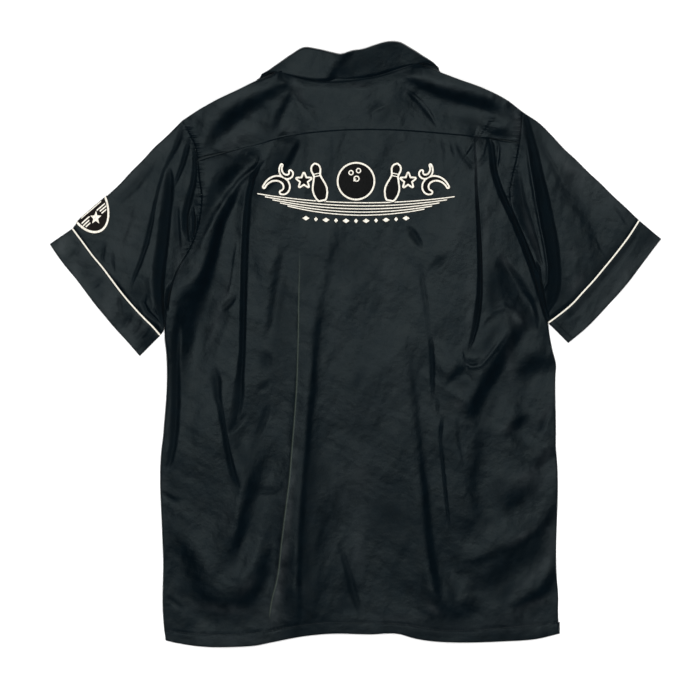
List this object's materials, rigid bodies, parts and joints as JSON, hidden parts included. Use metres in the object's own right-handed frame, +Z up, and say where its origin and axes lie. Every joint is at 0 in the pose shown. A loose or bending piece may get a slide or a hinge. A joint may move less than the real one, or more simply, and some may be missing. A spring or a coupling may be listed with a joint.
{
  "type": "bowling shirt",
  "caption": "Short-sleeved satin bowling shirt laid flat face down: camp collar, pleated back under a yoke, piped contrast cuff bands and an embroidered back panel",
  "frame": {"origin": "bottom centre of the shirt's box, on the surface it lies on", "axes": "X across the shirt, from the wearer's left sleeve (-X) to the right sleeve (+X); Y from hem (-Y) to collar (+Y); Z up, off the surface, the way the back faces"},
  "size_m": [0.7943, 0.7861, 0.0095],
  "materials": {
    "satin": "black satin with a faint green-blue sheen, softly creased",
    "piping": "ivory corded piping, matte",
    "badge": "dark brown-black twill with ivory satin-stitch border and motif",
    "embroidery": "ivory chain stitch with black fill",
    "button": "black polished resin"
  },
  "bodies": {
    "root": {"back": "satin", "yoke": "satin", "collar": "satin", "front_left": "satin", "front_right": "satin", "facing_left": "satin", "facing_right": "satin", "sleeve_left": "satin", "sleeve_right": "satin", "cuff_left": "satin", "cuff_right": "satin", "piping_left": "piping", "piping_right": "piping", "badge_left": "badge", "button_1": "button", "button_2": "button", "button_3": "button", "button_4": "button", "button_5": "button"}
  },
  "joints": []
}
